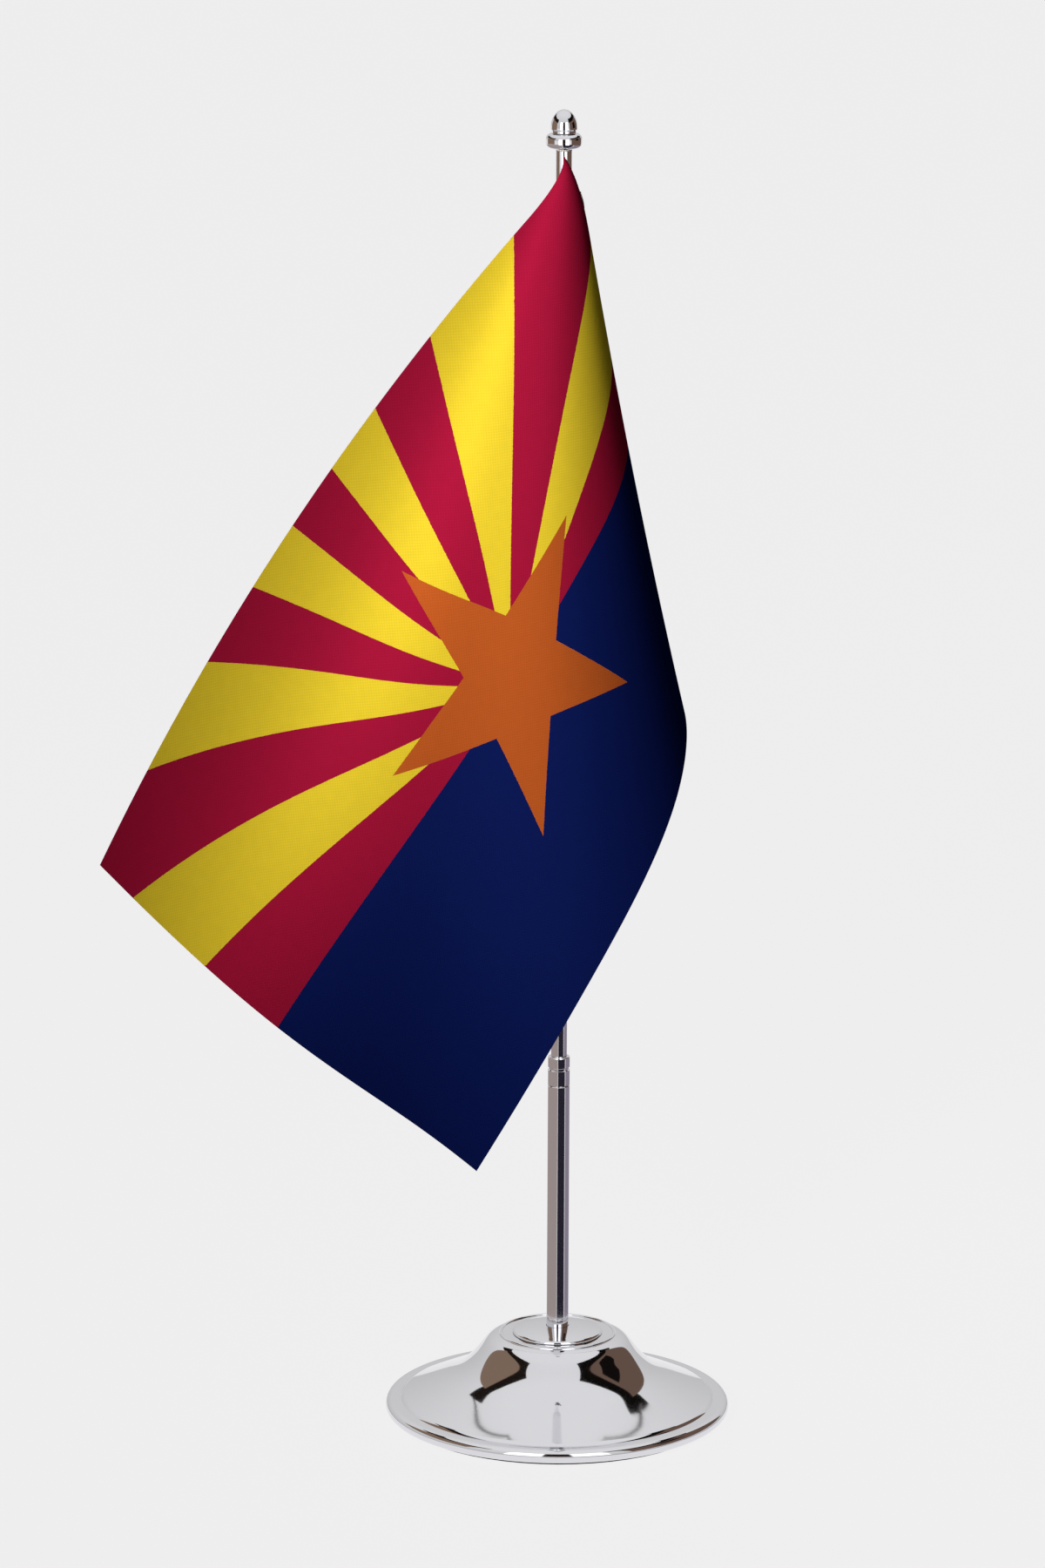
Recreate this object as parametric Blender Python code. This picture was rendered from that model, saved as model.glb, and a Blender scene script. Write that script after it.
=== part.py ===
"""Desk flag stand: a spun base, a two-section telescopic pole with an acorn finial, and a hanging flag.

The origin is the centre of the underside, on the pole's axis. +Z is up and -Y is the front.
"""

import math

import bmesh
import bpy
from mathutils import Vector

MM = 0.001

# Clearances: on sliding fits, between pieces that bear on each other, and round loose ones.
SLIDE_GAP = 0.05 * MM
STACK_GAP = 0.1 * MM
SEAT_GAP = 0.3 * MM

# Base.
BASE_RADIUS = 43.0 * MM
BASE_HEIGHT = 22.4 * MM
SHELL_WALL = 0.7 * MM
RIM_RADIUS = 1.7 * MM
SKIRT_RADIUS = 38.6 * MM
SKIRT_HEIGHT = 5.0 * MM
PLATEAU_RADIUS = 14.6 * MM
PLATEAU_DROP = 1.3 * MM
BEAD_RADIUS = 0.45 * MM
PAD_THICKNESS = 1.0 * MM
PLATE_THICKNESS = 1.2 * MM
WEIGHT_DRAFT = 2.0 * MM

# Escutcheon that closes the shell round the pole.
ESCUTCHEON_RADIUS = 11.2 * MM
ESCUTCHEON_EDGE = 0.8 * MM
ESCUTCHEON_RISE = 0.9 * MM

# Pole. The upper tube slides in the lower one, with room for the friction bush between them.
UPPER_TUBE_RADIUS = 2.0 * MM
TUBE_WALL = 0.4 * MM
BUSH_ROOM = 0.35 * MM
LOWER_TUBE_RADIUS = UPPER_TUBE_RADIUS + BUSH_ROOM + TUBE_WALL
TUBE_SOCKET_DEPTH = 9.0 * MM
MOUTH_HEIGHT = 92.8 * MM
FERRULE_LENGTH = 7.4 * MM
FERRULE_STEP = 3.1 * MM
FERRULE_GROOVE = 0.25 * MM
FERRULE_SPIGOT = 6.0 * MM
POLE_TOP = 317.5 * MM
BUSH_LENGTH = 6.0 * MM
BUSH_SLIT = 0.5 * MM
BUSH_NECK = 0.15 * MM
EXTENDED_GAP = 0.2 * MM
PLUG_FLANGE = 1.0 * MM
PLUG_SPIGOT = 8.0 * MM

# Clamp screw under the base.
SCREW_RADIUS = 1.5 * MM
SCREW_ENGAGEMENT = 5.3 * MM
SCREW_HEAD_RADIUS = 3.2 * MM
SCREW_HEAD_HEIGHT = 2.2 * MM
SCREW_RECESS = 1.2 * MM
WASHER_RADIUS = 4.0 * MM
WASHER_THICKNESS = 0.6 * MM
INSERT_LENGTH = 12.0 * MM

# Finial.
COLLAR_RADIUS = 4.4 * MM
COLLAR_HEIGHT = 3.7 * MM
COLLAR_ROUND = 1.5 * MM
ACORN_RADIUS = 3.3 * MM
ACORN_HEIGHT = 5.6 * MM
ACORN_STEP = 0.9 * MM
NYLON_THICKNESS = 0.3 * MM
STUD_RADIUS = 1.0 * MM
STUD_ENGAGEMENT = 7.0 * MM
TOP_INSERT_LENGTH = 12.0 * MM

# Flag: the panel's flat size, and the sleeve sewn along its hoist.
FLAG_LENGTH = 210.0 * MM
FLAG_WIDTH = 140.0 * MM
FLAG_BELOW_POLE_TOP = 1.0 * MM
FLAG_TOP = POLE_TOP - FLAG_BELOW_POLE_TOP
CLOTH_THICKNESS = 0.6 * MM
SLEEVE_WALL = 0.5 * MM
SLEEVE_GAP = 0.15 * MM
SLEEVE_TOP_MARGIN = 9.0 * MM
SLEEVE_BOTTOM_MARGIN = 2.0 * MM
HOIST_BEARING = -50.0
STOP_RING_RADIUS = 0.4 * MM

# The panel hangs in folds that spread from a point just above its top corner. Each fold line
# leaves that point with a sideways and a backward slope, per unit of drop. The first line runs
# along the top edge and the last one runs down the pole, at equal angles across the flat cloth.
FOLD_ORIGIN_RISE = 5.0 * MM
FOLD_SIDEWAYS = (-0.63, -0.41, -0.14, 0.04, 0.21, 0.24, 0.0)
FOLD_BACKWARD = (-0.10, -0.29, -0.05, -0.05, 0.10, 0.35, 0.0)
# Each fold line bows by this much at half of FOLD_SPAN, from the top edge round to the pole.
FOLD_SPAN = 250.0 * MM
BOW_SIDEWAYS = (-11.0 * MM, -4.0 * MM, -5.0 * MM, -4.0 * MM, 0.0)
BOW_BACKWARD = (30.0 * MM, -30.0 * MM, -20.0 * MM, -6.0 * MM, 0.0)

BASE_SEGMENTS = 56
TUBE_SEGMENTS = 24
FLAG_CELLS_LONG = 40
FLAG_CELLS_WIDE = 24


def material(name, colour, metallic, roughness):
    """A plain material with one Principled BSDF."""
    finish = bpy.data.materials.new(name)
    finish.use_nodes = True
    shader = finish.node_tree.nodes["Principled BSDF"]
    shader.inputs["Base Color"].default_value = (*colour, 1.0)
    shader.inputs["Metallic"].default_value = metallic
    shader.inputs["Roughness"].default_value = roughness
    finish.diffuse_color = (*colour, 1.0)
    return finish


def add_object(name, body, finish):
    """Put a finished bmesh in the scene as one named piece."""
    bmesh.ops.recalc_face_normals(body, faces=body.faces)
    mesh = bpy.data.meshes.new(name)
    body.to_mesh(mesh)
    body.free()
    mesh.materials.append(finish)
    piece = bpy.data.objects.new(name, mesh)
    bpy.context.collection.objects.link(piece)
    return piece


def turned(name, outline, finish, segments, bore=True):
    """Turn a closed outline of (radius, height) points round the Z axis.

    A piece with no bore has an outline that starts and ends on the axis.
    """
    body = bmesh.new()
    points = [body.verts.new((radius, 0.0, height)) for radius, height in outline]
    edges = [body.edges.new(pair) for pair in zip(points, points[1:])]
    if bore:
        edges.append(body.edges.new((points[-1], points[0])))
    bmesh.ops.spin(
        body,
        geom=points + edges,
        axis=(0.0, 0.0, 1.0),
        cent=(0.0, 0.0, 0.0),
        angle=math.tau,
        steps=segments,
        use_merge=True,
    )
    bmesh.ops.remove_doubles(body, verts=body.verts, dist=0.001 * MM)
    piece = add_object(name, body, finish)
    piece.data.shade_smooth()
    return piece


def arc(centre, radius, start, end, steps):
    """Points of an arc in the (radius, height) plane, from one angle in degrees to another."""
    points = []
    for step in range(steps + 1):
        angle = math.radians(start + (end - start) * step / steps)
        points.append((centre[0] + radius * math.cos(angle), centre[1] + radius * math.sin(angle)))
    return points


def blended(values, place):
    """A smooth run of values, read at a place from 0 at the first value to 1 at the last."""
    spans = len(values) - 1
    first = 2.0 * values[0] - values[1]
    last = 2.0 * values[-1] - values[-2]
    padded = (first, *values, last)
    scaled = min(max(place, 0.0), 1.0) * spans
    span = min(int(scaled), spans - 1)
    part = scaled - span
    weights = (
        (1.0 - part) ** 3,
        3.0 * part**3 - 6.0 * part**2 + 4.0,
        -3.0 * part**3 + 3.0 * part**2 + 3.0 * part + 1.0,
        part**3,
    )
    return sum(weight * padded[span + step] for step, weight in enumerate(weights)) / 6.0


def shell_outline():
    """The outside of the base shell, from the rim's underside up to the pole hole."""
    rim = (BASE_RADIUS - RIM_RADIUS, RIM_RADIUS + PAD_THICKNESS)
    plateau_height = BASE_HEIGHT - PLATEAU_DROP
    rise = plateau_height - SKIRT_HEIGHT
    run = SKIRT_RADIUS - PLATEAU_RADIUS
    # How far in from the skirt, and how far up, the bell's flank passes.
    flank = ((0.0, 0.0), (0.13, 0.08), (0.40, 0.26), (0.60, 0.42), (0.76, 0.68), (0.88, 0.95), (1.0, 1.0))
    points = arc(rim, RIM_RADIUS, -90.0, 90.0, 8)
    points.append((SKIRT_RADIUS + 0.5 * MM, SKIRT_HEIGHT - 0.55 * MM))
    for step in range(15):
        inward = blended([point[0] for point in flank], step / 14)
        upward = blended([point[1] for point in flank], step / 14)
        points.append((SKIRT_RADIUS - run * inward, SKIRT_HEIGHT + rise * upward))
    bead = (PLATEAU_RADIUS - BEAD_RADIUS, plateau_height)
    points += arc(bead, BEAD_RADIUS, 30.0, 150.0, 3)
    points.append((ESCUTCHEON_RADIUS, plateau_height + 0.15 * MM))
    points.append((LOWER_TUBE_RADIUS + SEAT_GAP, plateau_height + 0.15 * MM))
    return points


def make_base(finishes):
    """The spun shell, the weight inside it, the closing plate, the pad and the escutcheon."""
    outside = shell_outline()
    inside = []
    for index, (radius, height) in enumerate(outside):
        before = Vector(outside[max(index - 1, 0)])
        after = Vector(outside[min(index + 1, len(outside) - 1)])
        along = (after - before).normalized()
        inside.append((radius - along.y * SHELL_WALL, height + along.x * SHELL_WALL))
    inside[0] = (outside[0][0], outside[0][1] + SHELL_WALL)
    inside[-1] = (outside[-1][0], outside[-1][1] - SHELL_WALL)
    bell = [point for point in outside if point[0] <= SKIRT_RADIUS]
    turned("base_shell", outside + inside[::-1], finishes["chrome"], BASE_SEGMENTS)

    pad_radius = SKIRT_RADIUS + 1.0 * MM
    turned(
        "foot_pad",
        [(0.0, 0.0), (pad_radius, 0.0), (pad_radius, PAD_THICKNESS), (0.0, PAD_THICKNESS)],
        finishes["felt"],
        BASE_SEGMENTS,
        bore=False,
    )
    plate_low = PAD_THICKNESS + SEAT_GAP
    plate_high = plate_low + PLATE_THICKNESS
    plate_radius = SKIRT_RADIUS
    screw_way = SCREW_HEAD_RADIUS + SEAT_GAP
    turned(
        "base_plate",
        [
            (screw_way, plate_low),
            (plate_radius, plate_low),
            (plate_radius, plate_high),
            (screw_way, plate_high),
        ],
        finishes["zinc"],
        BASE_SEGMENTS,
    )

    weight_low = plate_high + SEAT_GAP
    inset = SHELL_WALL + SEAT_GAP + 0.4 * MM
    socket_radius = LOWER_TUBE_RADIUS + SEAT_GAP
    under_plateau = BASE_HEIGHT - PLATEAU_DROP - inset
    socket_floor = BASE_HEIGHT - TUBE_SOCKET_DEPTH - SEAT_GAP
    seat_height = screw_seat_height()
    flank = [
        (radius - inset, height - inset)
        for radius, height in bell
        if height - inset > weight_low + WEIGHT_DRAFT and radius > PLATEAU_RADIUS
    ]
    washer_way = WASHER_RADIUS + SEAT_GAP
    outline = [(washer_way, weight_low), (flank[0][0] - WEIGHT_DRAFT / 2, weight_low)]
    outline += flank[::2]
    outline += [
        (PLATEAU_RADIUS - inset, under_plateau),
        (socket_radius, under_plateau),
        (socket_radius, socket_floor),
        (SCREW_RADIUS + SEAT_GAP, socket_floor),
        (SCREW_RADIUS + SEAT_GAP, seat_height),
        (washer_way, seat_height),
    ]
    turned("base_weight", outline, finishes["cast_iron"], 40)

    seat = BASE_HEIGHT - PLATEAU_DROP + 0.15 * MM + STACK_GAP
    edge = (ESCUTCHEON_RADIUS - ESCUTCHEON_EDGE, seat)
    hole = LOWER_TUBE_RADIUS + STACK_GAP
    crown = [(hole, seat + ESCUTCHEON_EDGE + ESCUTCHEON_RISE)]
    for step in range(1, 6):
        share = step / 6
        radius = hole + (edge[0] - hole) * share
        crown.append((radius, seat + ESCUTCHEON_EDGE + ESCUTCHEON_RISE * (1.0 - share**2)))
    turned(
        "pole_escutcheon",
        [(hole, seat)] + crown + arc(edge, ESCUTCHEON_EDGE, 90.0, 0.0, 5),
        finishes["chrome"],
        40,
    )


def screw_seat_height():
    """Where the washers bear against the weight."""
    stack = SCREW_HEAD_HEIGHT + 2 * WASHER_THICKNESS + 3 * STACK_GAP
    return PAD_THICKNESS + SEAT_GAP + SCREW_RECESS + stack


def screw_tip_height():
    """Where the clamp screw ends inside the pole's lower insert."""
    return BASE_HEIGHT - TUBE_SOCKET_DEPTH + SCREW_ENGAGEMENT


def make_clamp(finishes):
    """The screw, flat washer and split washer that pull the pole down onto the weight."""
    gap = STACK_GAP
    seat = screw_seat_height()
    flat_top = seat - gap
    flat_bottom = flat_top - WASHER_THICKNESS
    turned(
        "flat_washer",
        [
            (SCREW_RADIUS + gap, flat_bottom),
            (WASHER_RADIUS, flat_bottom),
            (WASHER_RADIUS, flat_top),
            (SCREW_RADIUS + gap, flat_top),
        ],
        finishes["zinc"],
        TUBE_SEGMENTS,
    )
    split_top = flat_bottom - gap
    split_bottom = split_top - WASHER_THICKNESS
    split_ring(
        "lock_washer",
        SCREW_RADIUS + gap,
        SCREW_HEAD_RADIUS - gap,
        split_bottom,
        split_top,
        0.6 * MM,
        finishes["zinc"],
    )
    head_top = split_bottom - gap
    head_bottom = head_top - SCREW_HEAD_HEIGHT
    slot = 0.4 * SCREW_HEAD_RADIUS
    turned(
        "clamp_screw",
        [
            (0.0, head_bottom + 0.8 * MM),
            (slot, head_bottom + 0.8 * MM),
            (slot, head_bottom),
            (SCREW_HEAD_RADIUS - 0.6 * MM, head_bottom),
            (SCREW_HEAD_RADIUS, head_bottom + 0.6 * MM),
            (SCREW_HEAD_RADIUS, head_top),
            (SCREW_RADIUS, head_top),
            (SCREW_RADIUS, screw_tip_height() - 0.5 * MM),
            (SCREW_RADIUS - 0.5 * MM, screw_tip_height()),
            (0.0, screw_tip_height()),
        ],
        finishes["zinc"],
        TUBE_SEGMENTS,
        bore=False,
    )


def split_ring(name, inner, outer, low, high, slit, finish):
    """A ring with one narrow slit, open towards +X."""
    body = bmesh.new()
    corners = [(inner, low), (outer, low), (outer, high), (inner, high)]
    half = math.asin(slit / 2 / inner)
    start = [
        body.verts.new((radius * math.cos(half), radius * math.sin(half), height))
        for radius, height in corners
    ]
    face = body.faces.new(start)
    bmesh.ops.spin(
        body,
        geom=[face, *face.edges, *face.verts],
        axis=(0.0, 0.0, 1.0),
        cent=(0.0, 0.0, 0.0),
        angle=math.tau - 2 * half,
        steps=TUBE_SEGMENTS - 1,
    )
    bmesh.ops.remove_doubles(body, verts=body.verts, dist=0.001 * MM)
    return add_object(name, body, finish)


def make_pole(finishes):
    """Both tubes with their plugs, the guide ferrule and the friction bush."""
    tube_foot = BASE_HEIGHT - TUBE_SOCKET_DEPTH
    tube_head = MOUTH_HEIGHT - FERRULE_LENGTH
    bore = LOWER_TUBE_RADIUS - TUBE_WALL
    turned(
        "lower_tube",
        [
            (bore, tube_foot),
            (LOWER_TUBE_RADIUS, tube_foot),
            (LOWER_TUBE_RADIUS, tube_head - STACK_GAP),
            (bore, tube_head - STACK_GAP),
        ],
        finishes["chrome"],
        TUBE_SEGMENTS,
    )
    insert_radius = bore - SLIDE_GAP
    thread_end = screw_tip_height() + 0.5 * MM
    thread_radius = SCREW_RADIUS + SLIDE_GAP
    insert_top = tube_foot + INSERT_LENGTH
    turned(
        "lower_tube_insert",
        [
            (thread_radius, tube_foot),
            (insert_radius, tube_foot),
            (insert_radius, insert_top),
            (0.0, insert_top),
            (0.0, thread_end),
            (thread_radius, thread_end),
        ],
        finishes["brass"],
        TUBE_SEGMENTS,
    )

    guide = UPPER_TUBE_RADIUS + SLIDE_GAP
    step = tube_head + FERRULE_LENGTH - FERRULE_STEP
    groove = LOWER_TUBE_RADIUS - FERRULE_GROOVE
    turned(
        "mouth_ferrule",
        [
            (guide, tube_head - FERRULE_SPIGOT),
            (insert_radius, tube_head - FERRULE_SPIGOT),
            (insert_radius, tube_head),
            (LOWER_TUBE_RADIUS, tube_head),
            (LOWER_TUBE_RADIUS, step - 0.4 * MM),
            (groove, step - 0.2 * MM),
            (groove, step + 0.2 * MM),
            (LOWER_TUBE_RADIUS, step + 0.4 * MM),
            (LOWER_TUBE_RADIUS, MOUTH_HEIGHT - 0.3 * MM),
            (LOWER_TUBE_RADIUS - 0.3 * MM, MOUTH_HEIGHT),
            (guide, MOUTH_HEIGHT),
        ],
        finishes["chrome"],
        TUBE_SEGMENTS,
    )

    # Drawn right out, the bush stops under the ferrule's spigot.
    bush_top = tube_head - FERRULE_SPIGOT - EXTENDED_GAP
    upper_foot = bush_top - BUSH_LENGTH - STACK_GAP
    upper_bore = UPPER_TUBE_RADIUS - TUBE_WALL
    neck = UPPER_TUBE_RADIUS - BUSH_NECK
    turned(
        "upper_tube",
        [
            (upper_bore, upper_foot),
            (neck, upper_foot),
            (neck, bush_top + STACK_GAP),
            (UPPER_TUBE_RADIUS, bush_top + STACK_GAP),
            (UPPER_TUBE_RADIUS, POLE_TOP),
            (upper_bore, POLE_TOP),
        ],
        finishes["chrome"],
        TUBE_SEGMENTS,
    )
    flange_top = upper_foot - STACK_GAP
    plug_radius = upper_bore - SLIDE_GAP
    turned(
        "upper_tube_plug",
        [
            (0.0, flange_top - PLUG_FLANGE),
            (bore - 0.15 * MM, flange_top - PLUG_FLANGE),
            (bore - 0.15 * MM, flange_top),
            (plug_radius, flange_top),
            (plug_radius, flange_top + PLUG_SPIGOT),
            (0.0, flange_top + PLUG_SPIGOT),
        ],
        finishes["brass"],
        TUBE_SEGMENTS,
        bore=False,
    )
    split_ring(
        "friction_bush",
        neck + SLIDE_GAP,
        bore - SLIDE_GAP,
        bush_top - BUSH_LENGTH,
        bush_top,
        BUSH_SLIT,
        finishes["brass"],
    )
    turned(
        "top_insert",
        [
            (STUD_RADIUS + SLIDE_GAP, POLE_TOP - TOP_INSERT_LENGTH),
            (plug_radius, POLE_TOP - TOP_INSERT_LENGTH),
            (plug_radius, POLE_TOP - STACK_GAP),
            (STUD_RADIUS + SLIDE_GAP, POLE_TOP - STACK_GAP),
        ],
        finishes["brass"],
        TUBE_SEGMENTS,
    )


def make_finial(finishes):
    """The nylon washer, the collar, the acorn and the stud that holds them on the pole."""
    gap = STACK_GAP
    washer_low = POLE_TOP + gap
    washer_high = washer_low + NYLON_THICKNESS
    stud_way = STUD_RADIUS + gap
    turned(
        "finial_washer",
        [
            (stud_way, washer_low),
            (UPPER_TUBE_RADIUS, washer_low),
            (UPPER_TUBE_RADIUS, washer_high),
            (stud_way, washer_high),
        ],
        finishes["nylon"],
        TUBE_SEGMENTS,
    )
    low = washer_high + gap
    high = low + COLLAR_HEIGHT
    middle = COLLAR_RADIUS - COLLAR_ROUND
    turned(
        "finial_collar",
        [(stud_way, low)]
        + arc((middle, low + COLLAR_ROUND), COLLAR_ROUND, -90.0, 0.0, 4)
        + arc((middle, high - COLLAR_ROUND), COLLAR_ROUND, 0.0, 90.0, 4)
        + [(stud_way, high)],
        finishes["chrome"],
        32,
    )
    acorn_low = high + gap
    waist = ACORN_RADIUS - 0.3 * MM
    dome_low = acorn_low + ACORN_STEP
    top = acorn_low + ACORN_HEIGHT
    dome = []
    for step in range(9):
        angle = math.radians(90.0 * step / 8)
        dome.append((ACORN_RADIUS * math.cos(angle), dome_low + (top - dome_low) * math.sin(angle)))
    dome[-1] = (0.0, top)
    blind = acorn_low + 0.6 * ACORN_HEIGHT
    turned(
        "finial_acorn",
        [(0.0, blind), (stud_way, blind), (stud_way, acorn_low), (waist, acorn_low)]
        + [(waist, dome_low - 0.3 * MM)]
        + dome,
        finishes["chrome"],
        32,
        bore=False,
    )
    stud_top = blind - gap
    stud_bottom = POLE_TOP - STUD_ENGAGEMENT
    turned(
        "finial_stud",
        [
            (0.0, stud_bottom),
            (STUD_RADIUS - 0.3 * MM, stud_bottom),
            (STUD_RADIUS, stud_bottom + 0.3 * MM),
            (STUD_RADIUS, stud_top),
            (0.0, stud_top),
        ],
        finishes["zinc"],
        16,
        bore=False,
    )


def sleeve_radius():
    """Outside of the hoist sleeve."""
    return UPPER_TUBE_RADIUS + SLEEVE_GAP + SLEEVE_WALL


def cloth_point(along, down):
    """Where a point of the flat panel hangs, from its distances along and down from the top corner."""
    reach = sleeve_radius() + SEAT_GAP + CLOTH_THICKNESS / 2
    bearing = math.radians(HOIST_BEARING)
    corner = Vector((reach * math.cos(bearing), reach * math.sin(bearing), FLAG_TOP + FOLD_ORIGIN_RISE))
    drop = down + FOLD_ORIGIN_RISE
    distance = math.hypot(along, drop)
    turn = math.atan2(drop, along) / (math.pi / 2)
    slope = Vector((blended(FOLD_SIDEWAYS, turn), blended(FOLD_BACKWARD, turn), -1.0)).normalized()
    share = distance / FOLD_SPAN
    bow = 4.0 * share * (1.0 - share)
    belly = Vector((blended(BOW_SIDEWAYS, turn), blended(BOW_BACKWARD, turn), 0.0))
    return corner + slope * distance + belly * bow


def make_flag(finishes):
    """The panel as a thin closed sheet, with its sleeve and the ring that carries the sleeve."""
    body = bmesh.new()
    rows = []
    nudge = 0.2 * MM
    for across in range(FLAG_CELLS_WIDE + 1):
        down = FLAG_WIDTH * across / FLAG_CELLS_WIDE
        row = []
        for cell in range(FLAG_CELLS_LONG + 1):
            along = FLAG_LENGTH * (cell / FLAG_CELLS_LONG) ** 1.5
            point = cloth_point(along, down)
            run = cloth_point(along + nudge, down) - point
            fall = cloth_point(along, down + nudge) - point
            offset = run.cross(fall).normalized() * (CLOTH_THICKNESS / 2)
            row.append((body.verts.new(point + offset), body.verts.new(point - offset)))
        rows.append(row)
    for upper, lower in zip(rows, rows[1:]):
        for left, right in zip(range(FLAG_CELLS_LONG), range(1, FLAG_CELLS_LONG + 1)):
            for side in (0, 1):
                corners = [upper[left], upper[right], lower[right], lower[left]]
                body.faces.new([corner[side] for corner in corners])
    edge = rows[0][:-1] + [row[-1] for row in rows[:-1]] + rows[-1][:0:-1] + [row[0] for row in rows[:0:-1]]
    for here, there in zip(edge, edge[1:] + edge[:1]):
        body.faces.new((here[0], there[0], there[1], here[1]))
    add_object("flag_panel", body, finishes["satin"]).data.shade_smooth()

    sleeve_low = FLAG_TOP - FLAG_WIDTH + SLEEVE_BOTTOM_MARGIN
    sleeve_high = FLAG_TOP - SLEEVE_TOP_MARGIN
    inner = UPPER_TUBE_RADIUS + SLEEVE_GAP
    turned(
        "hoist_sleeve",
        [
            (inner, sleeve_low),
            (sleeve_radius(), sleeve_low),
            (sleeve_radius(), sleeve_high),
            (inner, sleeve_high),
        ],
        finishes["satin"],
        TUBE_SEGMENTS,
    )
    ring_middle = (UPPER_TUBE_RADIUS + SLIDE_GAP + STOP_RING_RADIUS, sleeve_low - SEAT_GAP - STOP_RING_RADIUS)
    turned(
        "sleeve_stop_ring",
        arc(ring_middle, STOP_RING_RADIUS, 0.0, 324.0, 9),
        finishes["rubber"],
        TUBE_SEGMENTS,
    )


def main():
    for leftover in list(bpy.data.objects):
        bpy.data.objects.remove(leftover, do_unlink=True)
    finishes = {
        "chrome": material("chrome_plate", (0.80, 0.80, 0.82), 1.0, 0.06),
        "zinc": material("zinc_plated_steel", (0.60, 0.61, 0.63), 1.0, 0.35),
        "cast_iron": material("cast_iron", (0.08, 0.08, 0.085), 0.6, 0.7),
        "brass": material("turned_brass", (0.72, 0.52, 0.22), 1.0, 0.3),
        "felt": material("wool_felt", (0.02, 0.02, 0.022), 0.0, 0.95),
        "nylon": material("natural_nylon", (0.78, 0.77, 0.72), 0.0, 0.45),
        "rubber": material("black_rubber", (0.02, 0.02, 0.02), 0.0, 0.7),
        "satin": material("polyester_satin", (0.45, 0.02, 0.06), 0.0, 0.55),
    }
    make_base(finishes)
    make_clamp(finishes)
    make_pole(finishes)
    make_finial(finishes)
    make_flag(finishes)


main()
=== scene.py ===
"""Desk flag stand: the visual model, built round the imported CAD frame."""

import math

import bpy
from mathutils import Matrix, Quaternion, Vector


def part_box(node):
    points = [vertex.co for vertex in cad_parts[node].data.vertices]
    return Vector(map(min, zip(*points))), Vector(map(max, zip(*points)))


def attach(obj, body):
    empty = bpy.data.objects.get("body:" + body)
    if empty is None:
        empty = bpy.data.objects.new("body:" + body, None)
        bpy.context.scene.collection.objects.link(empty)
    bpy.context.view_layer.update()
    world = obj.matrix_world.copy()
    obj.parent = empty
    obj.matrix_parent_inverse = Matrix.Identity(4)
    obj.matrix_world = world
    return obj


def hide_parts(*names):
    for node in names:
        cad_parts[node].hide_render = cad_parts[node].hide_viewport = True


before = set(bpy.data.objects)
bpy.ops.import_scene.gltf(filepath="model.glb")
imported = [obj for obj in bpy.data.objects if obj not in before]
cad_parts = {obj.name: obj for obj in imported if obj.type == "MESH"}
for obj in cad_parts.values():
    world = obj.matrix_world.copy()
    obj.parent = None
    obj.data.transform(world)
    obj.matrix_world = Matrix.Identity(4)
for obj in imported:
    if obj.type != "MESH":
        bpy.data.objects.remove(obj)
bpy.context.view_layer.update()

bl_info = {
    "name": "Desk Flag Stand",
    "version": (1, 0, 0),
    "blender": (4, 5, 0),
    "location": "3D View > Sidebar > Flag Stand",
    "description": "Models a chromed desk flag stand with a hanging printed satin flag",
    "category": "Object",
}

MM = 0.001


# ---- Sizes taken from the frame ----


def radius_of(node):
    """Half of a CAD node's width."""
    low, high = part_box(node)
    return (high.x - low.x) / 2


def low_of(node):
    """Height of a CAD node's lowest point."""
    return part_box(node)[0].z


def high_of(node):
    """Height of a CAD node's highest point."""
    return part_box(node)[1].z


LOWER_TUBE_RADIUS = radius_of("lower_tube")
UPPER_TUBE_RADIUS = radius_of("upper_tube")
SLEEVE_RADIUS = radius_of("hoist_sleeve")
# The panel's top corner is this far above the sleeve.
CORNER_ABOVE_SLEEVE = 9.0 * MM
FLAG_TOP = high_of("hoist_sleeve") + CORNER_ABOVE_SLEEVE
TUBE_WALL = 0.4 * MM
# How far turned pieces stand clear of the tube or stud that passes through them.
RUNNING_ROOM = 0.05 * MM
STUD_ROOM = 0.1 * MM
# The corner broken on the end of a tube.
ROUND_OFF = 0.12 * MM


# ---- Colours, nodes and materials ----


def linear(colour):
    """An sRGB hex colour such as "#a01830" as linear red, green, blue and alpha."""
    parts = [int(colour[place:place + 2], 16) / 255 for place in (1, 3, 5)]
    parts = [part / 12.92 if part <= 0.04045 else ((part + 0.055) / 1.055) ** 2.4 for part in parts]
    return (*parts, 1.0)


def add_node(tree, kind, inputs=None, **settings):
    """Add one node and return its output. Inputs are values, or outputs of other nodes to link."""
    node = tree.nodes.new(kind)
    for setting, value in settings.items():
        setattr(node, setting, value)
    for name, value in (inputs or {}).items():
        if isinstance(name, int):
            socket = node.inputs[name]
        else:
            socket = next(socket for socket in node.inputs if socket.enabled and socket.name == name)
        if isinstance(value, bpy.types.NodeSocket):
            tree.links.new(value, socket)
        else:
            socket.default_value = value
    return next((socket for socket in node.outputs if socket.enabled), None)


def new_material(name, base=None, metallic=0.0, roughness=0.5):
    """A material with one Principled BSDF, and its node tree and shader."""
    material = bpy.data.materials.new(name)
    material.use_nodes = True
    tree = material.node_tree
    shader = tree.nodes["Principled BSDF"]
    if base:
        shader.inputs["Base Color"].default_value = linear(base)
    shader.inputs["Metallic"].default_value = metallic
    shader.inputs["Roughness"].default_value = roughness
    return material, tree, shader


def object_place(tree):
    """The Object coordinates of a surface."""
    node = tree.nodes.new("ShaderNodeTexCoord")
    return node.outputs["Object"]


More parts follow.
